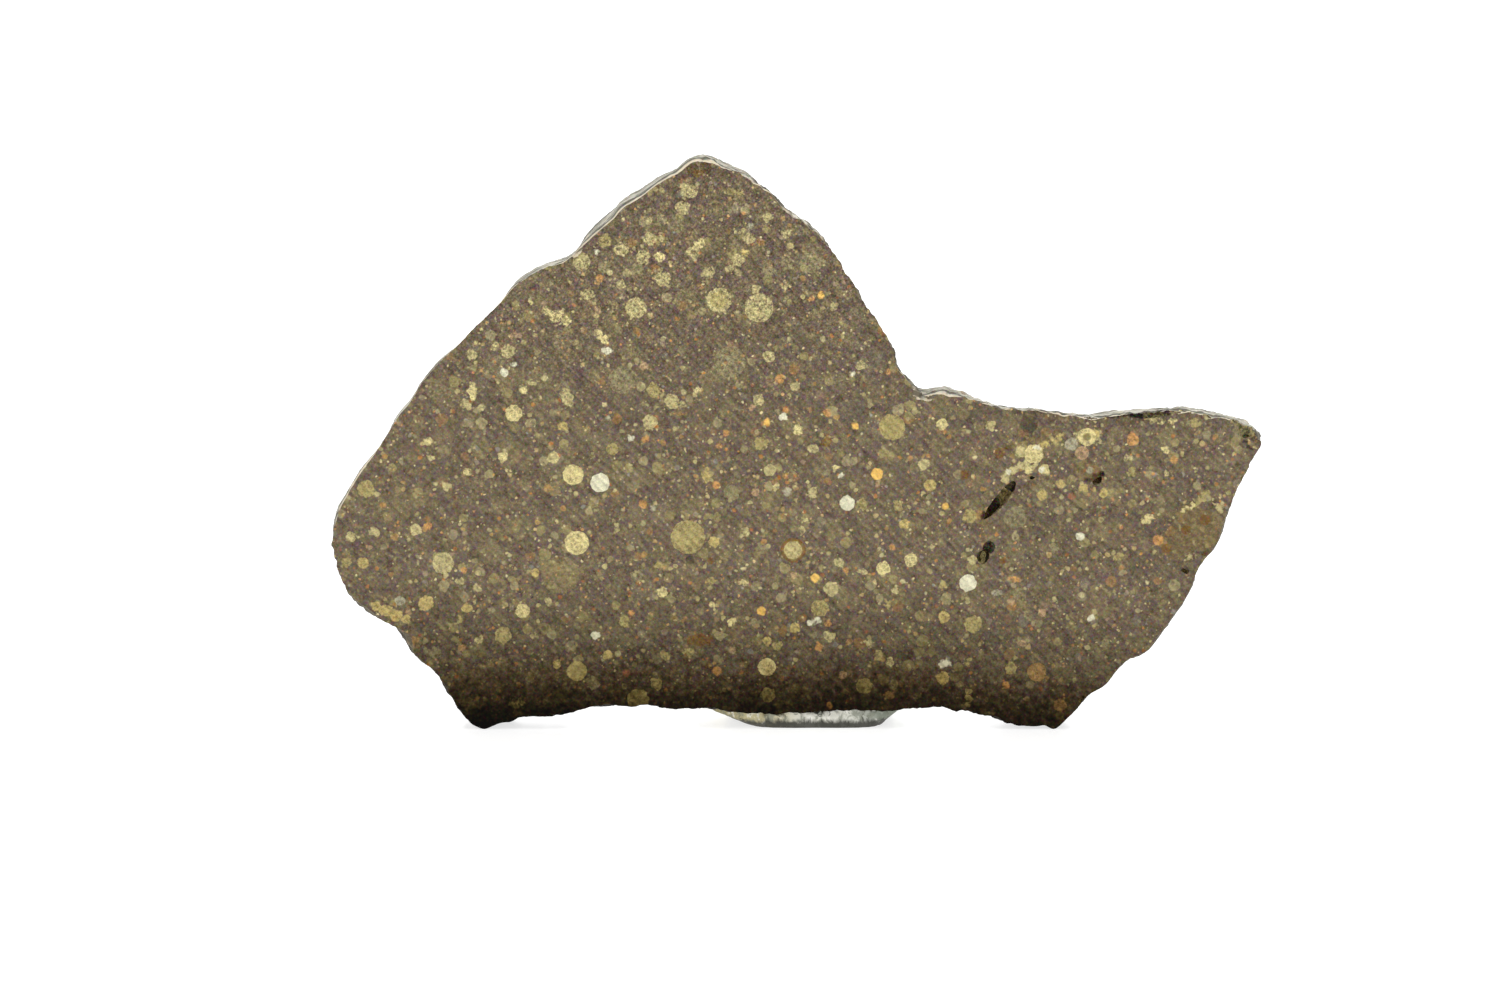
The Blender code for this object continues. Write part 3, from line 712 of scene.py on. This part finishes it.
def weathered_rim():
    """The natural outside of the stone: a pale weathered skin in light and dark streaks that follow the edge, with
    painted shade on its faces that look down and to the right and towards its foot.
    """
    finish = Finish("weathered_rim")
    place = finish.place()
    near = finish.warped(place, 0.6, 0.2)
    drawn_out = finish.add("ShaderNodeVectorMath", {"operation": "MULTIPLY"}, (near, (0.3, 1.5, 0.3)))
    colour = finish.ramp(finish.noise(drawn_out, 1.0, 3.0, 0.7), RIM_TONES)
    colour = scatter(finish, colour, near, 0.7, 0.5, (0.2, 0.55), RIM_SPOT_TONES, 0.1, 0.6)
    depth = finish.add("ShaderNodeSeparateXYZ", {}, (near,)).output("Y")
    cut_line = finish.band(abs(depth - (FRONT_MM + 0.2)), 0.28, 0.1, 0.0, 0.7)
    colour = finish.mix(colour, tone(CUT_LINE), cut_line)
    inner_line = finish.band(abs(depth - (FRONT_MM + 0.85)), 0.5, 0.1, 0.0, 0.85)
    colour = finish.mix(colour, tone(INNER_LINE), inner_line)
    back_line = finish.band(BACK_MM - depth, 0.7, 0.2, 0.0, 0.75)
    colour = finish.mix(colour, tone(BACK_LINE), back_line)
    colour = finish.jittered(colour, near, 0.15, 0.15)
    # Painted shade on the faces that look down and to the right.
    facing = finish.add("ShaderNodeSeparateXYZ", {}, (finish.add("ShaderNodeNewGeometry").output("Normal"),))
    to_right = facing.maths("MAXIMUM", facing, 0.0)
    uneven = finish.noise(near, 1.4, 3.0, 0.65) * 1.6 - 0.8
    shaded_side = finish.band(facing.output("Z") - to_right * 0.8 + uneven, 0.55, -0.25, 0.0, 0.85)
    colour = finish.mix(colour, tone(SHADED_SIDE), shaded_side)
    # Painted shade towards the foot, as on the sawn faces.
    colour = finish.mix(colour, painted_foot_shade(finish, height_share(finish, place)), 1.0, "MULTIPLY")
    finish.give("Base Color", colour)
    finish.give("Roughness", 0.75)
    finish.give("Specular IOR Level", 0.25)
    finish.bump(finish.noise(near, 0.4, 4.0, 0.65), 0.2, 0.6)
    return finish.material


def putty_skin():
    """Soft grey-white putty, streaked with grey, yellower at its left and greener at its right, where it is darker as
    painted shade. A painted contact shadow runs along its foot.
    """
    finish = Finish("pressed_putty")
    place = finish.place()
    spread = finish.add("ShaderNodeSeparateXYZ", {}, (place,))
    wander = finish.noise(place, 2.0, 2.0) * 3.0 - 1.5
    # The ramp's darker right end is painted shade.
    colour = finish.ramp((spread + wander + 10.0) / 20.0, PUTTY_TONES)
    pressed = finish.warped(place, 0.7, 0.3)
    blotches = finish.noise(pressed, 0.9, 3.0, 0.65)
    colour = finish.mix(colour, tone(PUTTY_GREY), finish.band(blotches, 0.5, 0.38, 0.0, 0.8))
    colour = finish.mix(colour, tone(PUTTY_WHITE), finish.band(blotches, 0.53, 0.64, 0.0, 0.8))
    drawn_out = finish.add("ShaderNodeVectorMath", {"operation": "MULTIPLY"}, (pressed, (1.0, 1.0, 0.35)))
    specks = finish.noise(drawn_out, 0.34, 3.0, 0.7)
    colour = finish.mix(colour, tone(PUTTY_SPECKS), finish.band(specks, 0.44, 0.34, 0.0, 0.7))
    # A painted contact shadow along the putty's foot on the floor.
    foot = finish.band(spread.output("Z") + (specks - 0.5) * 0.8, 0.85, 0.4, 0.0, 0.94)
    colour = finish.mix(colour, tone(PUTTY_CONTACT_SHADOW), foot)
    finish.give("Base Color", colour)
    finish.give("Roughness", 0.55)
    finish.give("Subsurface Weight", 0.1)
    finish.give("Subsurface Radius", (1.0, 0.9, 0.7))
    finish.give("Subsurface Scale", 0.6 * MM)
    finish.bump(finish.noise(place, 0.8, 4.0, 0.6), 0.15, 0.5)
    return finish.material


def select_only(piece):
    """Makes this piece the only one selected, and the active one."""
    bpy.ops.object.select_all(action="DESELECT")
    piece.select_set(True)
    bpy.context.view_layer.objects.active = piece


def copy_of_node(node, name):
    """A new piece with a CAD node's shape: its loose triangles joined, then paired into quads."""
    piece = bpy.data.objects.new(name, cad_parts[node].data.copy())
    piece.data.materials.clear()
    bpy.context.scene.collection.objects.link(piece)
    select_only(piece)
    bpy.ops.object.mode_set(mode="EDIT")
    bpy.ops.mesh.select_all(action="SELECT")
    bpy.ops.mesh.remove_doubles(threshold=JOIN_WITHIN_MM * MM)
    bpy.ops.mesh.tris_convert_to_quads(face_threshold=math.radians(50), shape_threshold=math.radians(70))
    bpy.ops.object.mode_set(mode="OBJECT")
    return piece


def select_faces(piece, wanted):
    """In edit mode, leaves selected only the faces for which wanted(face) holds. Gives how many."""
    mesh = bmesh.from_edit_mesh(piece.data)
    bpy.ops.mesh.select_mode(type="FACE")
    bpy.ops.mesh.select_all(action="DESELECT")
    mesh.faces.ensure_lookup_table()
    count = 0
    for face in mesh.faces:
        if wanted(face):
            face.select_set(True)
            count += 1
    bmesh.update_edit_mesh(piece.data)
    return count


def on_plane(vert, plane_mm):
    return abs(vert.co.y / MM - plane_mm) < ON_PLANE_MM


def is_sawn(face):
    """Whether a face lies in the sawn front or the sawn back."""
    flat = abs(face.normal.y) > FLAT_NORMAL
    return flat and any(all(on_plane(vert, plane) for vert in face.verts) for plane in (FRONT_MM, BACK_MM))


def displace(piece, axis, spacing, height, group):
    """Pushes a group of the piece's points along one axis by cloudy noise, for good."""
    texture = bpy.data.textures.new(f"{piece.name}_{axis}_{spacing}", "CLOUDS")
    texture.noise_scale = spacing * MM
    texture.noise_depth = 1
    push = piece.modifiers.new("uneven", "DISPLACE")
    push.texture = texture
    push.texture_coords = "LOCAL"
    push.direction = axis
    push.strength = 2 * height * MM
    push.mid_level = 0.5
    push.vertex_group = group
    bpy.ops.object.modifier_apply(modifier=push.name)


def subdivide(piece, levels):
    """Divides the piece into smooth smaller faces, for good."""
    smooth = piece.modifiers.new("finer", "SUBSURF")
    smooth.levels = levels
    smooth.render_levels = levels
    bpy.ops.object.modifier_apply(modifier=smooth.name)


def add_group(piece, name, weigh):
    """A vertex group that holds each point with the weight that weigh(point) gives."""
    group = piece.vertex_groups.new(name=name)
    for vert in piece.data.vertices:
        group.add([vert.index], weigh(vert.co), "REPLACE")
    return name


def lift_off_floor(place):
    """Full weight well above the floor, and none at it, so that what stands there keeps standing."""
    return min(max(place.z / MM / 0.8, 0.0), 1.0)


def fill_sawn_face(piece, plane_mm):
    """Closes the open rim at one sawn plane with flat faces, round the open holes."""
    bpy.ops.object.mode_set(mode="EDIT")
    bpy.ops.mesh.select_mode(type="EDGE")
    bpy.ops.mesh.select_all(action="DESELECT")
    mesh = bmesh.from_edit_mesh(piece.data)
    for edge in mesh.edges:
        if edge.is_boundary and all(on_plane(vert, plane_mm) for vert in edge.verts):
            edge.select_set(True)
            for vert in edge.verts:
                vert.co.y = plane_mm * MM
    bmesh.update_edit_mesh(piece.data)
    bpy.ops.mesh.fill(use_beauty=True)
    bpy.ops.object.mode_set(mode="OBJECT")


def build_stone():
    """The stone: the CAD's rim and holes made finer and uneven, between two exactly flat sawn faces."""
    piece = copy_of_node("meteorite_slice", "stone")
    bpy.ops.object.mode_set(mode="EDIT")
    select_faces(piece, is_sawn)
    bpy.ops.mesh.delete(type="ONLY_FACE")
    select_faces(piece, lambda face: False)
    bpy.ops.mesh.select_mode(type="EDGE")
    bpy.ops.object.mode_set(mode="OBJECT")
    drop_wires(piece)
    subdivide(piece, RIM_LEVELS)
    group = add_group(piece, "uneven", lift_off_floor)
    for axis in ("X", "Z"):
        for spacing, height in RIM_ROUGHNESS:
            displace(piece, axis, spacing, height, group)
    for plane in (FRONT_MM, BACK_MM):
        fill_sawn_face(piece, plane)
    piece.data.materials.append(sawn_stone())
    piece.data.materials.append(weathered_rim())
    bpy.ops.object.mode_set(mode="EDIT")
    bpy.ops.mesh.select_all(action="SELECT")
    bpy.ops.mesh.normals_make_consistent(inside=False)
    middle = (FRONT_MM + BACK_MM) / 2
    select_faces(piece, lambda face: abs(face.calc_center_median().y / MM - middle) < RIM_MIDDLE_MM)
    delimit_by_sawn_faces(piece)
    piece.active_material_index = 1
    bpy.ops.object.material_slot_assign()
    bpy.ops.object.mode_set(mode="OBJECT")
    bpy.ops.object.shade_smooth_by_angle(angle=SMOOTH_BELOW)
    bpy.ops.object.mode_set(mode="EDIT")
    select_faces(piece, is_sawn)
    bpy.ops.mesh.faces_shade_flat()
    bpy.ops.object.mode_set(mode="OBJECT")
    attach(piece, "root")
    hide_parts("meteorite_slice")
    return piece


def drop_wires(piece):
    """Removes the edges that the sawn faces left behind."""
    bpy.ops.object.mode_set(mode="EDIT")
    mesh = bmesh.from_edit_mesh(piece.data)
    bpy.ops.mesh.select_all(action="DESELECT")
    for edge in mesh.edges:
        if edge.is_wire:
            edge.select_set(True)
    bmesh.update_edit_mesh(piece.data)
    bpy.ops.mesh.delete(type="EDGE")
    bpy.ops.object.mode_set(mode="OBJECT")


def is_dark_flake(face):
    """Whether a face lies in one of the flakes knocked off the arm's front edge, which keep the stone's sawn finish
    and are dark there with the painted shade of its holes.
    """
    place = face.calc_center_median() / MM
    return place.x > DARK_FLAKES_FROM_MM and place.y < FRONT_MM + FLAKE_DEPTH_MM and face.normal.y < -FLAKE_LEAN


def delimit_by_sawn_faces(piece):
    """Grows the selection over the whole rim, and stops it at the sawn faces."""
    mesh = bmesh.from_edit_mesh(piece.data)
    reached = {face for face in mesh.faces if face.select}
    edge_of = list(reached)
    while edge_of:
        face = edge_of.pop()
        for edge in face.edges:
            for other in edge.link_faces:
                if other not in reached and not is_sawn(other) and not is_dark_flake(other):
                    reached.add(other)
                    other.select_set(True)
                    edge_of.append(other)
    bmesh.update_edit_mesh(piece.data)


def build_putty(stone):
    """The putty: the CAD's lump made finer, pressed right up to the stone."""
    piece = copy_of_node("putty_rest", "putty")
    subdivide(piece, 1)
    stone_surface = BVHTree.FromPolygons(
        [vert.co.copy() for vert in stone.data.vertices], [tuple(face.vertices) for face in stone.data.polygons]
    )
    near = {}
    for vert in piece.data.vertices:
        found = stone_surface.find_nearest(vert.co, PRESSED_WITHIN_MM * MM)
        if found[0] is not None:
            near[vert.index] = found
    group = piece.vertex_groups.new(name="uneven")
    for vert in piece.data.vertices:
        weight = 0.0 if vert.index in near else lift_off_floor(vert.co)
        group.add([vert.index], weight, "REPLACE")
    for axis in ("X", "Y", "Z"):
        for spacing, height in PUTTY_ROUGHNESS:
            displace(piece, axis, spacing, height, "uneven")
    for index, (place, normal, _, _) in near.items():
        piece.data.vertices[index].co = place - normal * PRESSED_INTO_MM * MM
    piece.data.materials.append(putty_skin())
    bpy.ops.object.shade_smooth_by_angle(angle=math.radians(60))
    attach(piece, "root")
    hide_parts("putty_rest")
    return piece


def build_floor():
    """A white floor with a faint gloss."""
    bpy.ops.mesh.primitive_plane_add(size=FLOOR_SIDE, location=(0.0, 0.0, 0.0))
    floor = bpy.context.active_object
    floor.name = "floor"
    finish = Finish("white_floor")
    finish.give("Base Color", (0.6, 0.6, 0.6, 1.0))
    finish.give("Roughness", 0.2)
    finish.give("Specular IOR Level", 1.0)
    finish.give("Emission Color", (1.0, 1.0, 1.0, 1.0))
    finish.give("Emission Strength", FLOOR_GLOW)
    floor.data.materials.append(finish.material)


def light_scene():
    """White light from all round, and a wide soft light overhead."""
    world = bpy.data.worlds.new("white_room")
    world.use_nodes = True
    world.node_tree.nodes["Background"].inputs["Color"].default_value = (1.0, 1.0, 1.0, 1.0)
    world.node_tree.nodes["Background"].inputs["Strength"].default_value = SKY_STRENGTH
    bpy.context.scene.world = world
    bpy.ops.object.light_add(type="AREA", location=OVERHEAD_PLACE)
    lamp = bpy.context.active_object
    lamp.name = "overhead_light"
    lamp.data.energy = OVERHEAD_WATTS
    lamp.data.size = OVERHEAD_SIDE


def place_camera():
    """The camera where the photograph was taken from."""
    data = bpy.data.cameras.new("camera")
    data.sensor_width = SENSOR_MM
    data.lens = LENS_MM
    data.clip_start = 0.01
    camera = bpy.data.objects.new("camera", data)
    bpy.context.scene.collection.objects.link(camera)
    away = DISTANCE_MM * MM
    camera.location = (
        AIM_X_MM * MM,
        FRONT_MM * MM - away * math.cos(LOOKING_DOWN),
        AIM_Z_MM * MM + away * math.sin(LOOKING_DOWN),
    )
    camera.rotation_euler = (math.pi / 2 - LOOKING_DOWN, 0.0, 0.0)
    bpy.context.scene.camera = camera


bpy.ops.object.select_all(action="DESELECT")
bpy.context.scene.view_settings.view_transform = "Standard"
place_camera()
light_scene()
build_floor()
build_putty(build_stone())
